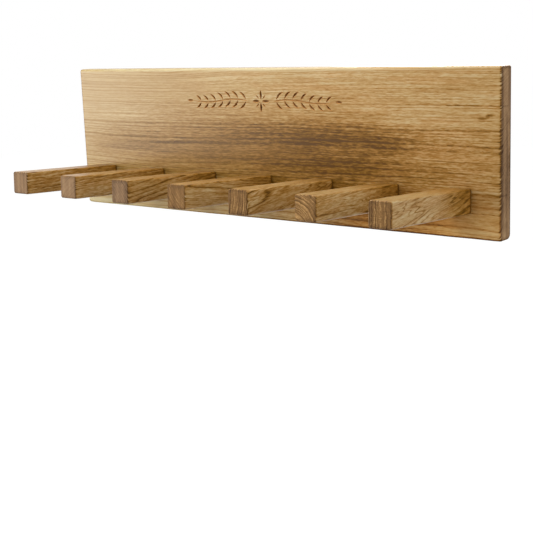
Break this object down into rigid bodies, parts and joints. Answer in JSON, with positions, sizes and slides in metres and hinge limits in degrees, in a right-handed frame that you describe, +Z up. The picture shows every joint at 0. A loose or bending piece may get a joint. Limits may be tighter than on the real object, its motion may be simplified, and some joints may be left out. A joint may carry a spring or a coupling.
{
  "type": "boot rack",
  "caption": "Wall rack for boots: a flat oak board with a row of square oak pegs that lean up a little, screwed on from behind and hung on keyhole plates.",
  "frame": {"origin": "centre of the board's back face, where it lies on the wall", "axes": "+Z up, -Y out of the wall along the pegs, +X along the board to the right as seen from the front"},
  "size_m": [0.7, 0.1944, 0.2],
  "materials": {
    "board_oak": "oiled oak, satin",
    "peg_oak": "oiled oak, satin",
    "plate_steel": "zinc plated, dull",
    "screw_steel": "yellow zinc plated"
  },
  "bodies": {
    "root": {"back_board": "board_oak", "peg_1": "peg_oak", "peg_2": "peg_oak", "peg_3": "peg_oak", "peg_4": "peg_oak", "peg_5": "peg_oak", "peg_6": "peg_oak", "peg_7": "peg_oak", "peg_screw_upper_1": "screw_steel", "peg_screw_lower_1": "screw_steel", "peg_screw_upper_2": "screw_steel", "peg_screw_lower_2": "screw_steel", "peg_screw_upper_3": "screw_steel", "peg_screw_lower_3": "screw_steel", "peg_screw_upper_4": "screw_steel", "peg_screw_lower_4": "screw_steel", "peg_screw_upper_5": "screw_steel", "peg_screw_lower_5": "screw_steel", "peg_screw_upper_6": "screw_steel", "peg_screw_lower_6": "screw_steel", "peg_screw_upper_7": "screw_steel", "peg_screw_lower_7": "screw_steel", "keyhole_plate_left": "plate_steel", "keyhole_plate_right": "plate_steel", "plate_screw_left_top": "screw_steel", "plate_screw_left_bottom": "screw_steel", "plate_screw_right_top": "screw_steel", "plate_screw_right_bottom": "screw_steel"}
  },
  "joints": []
}
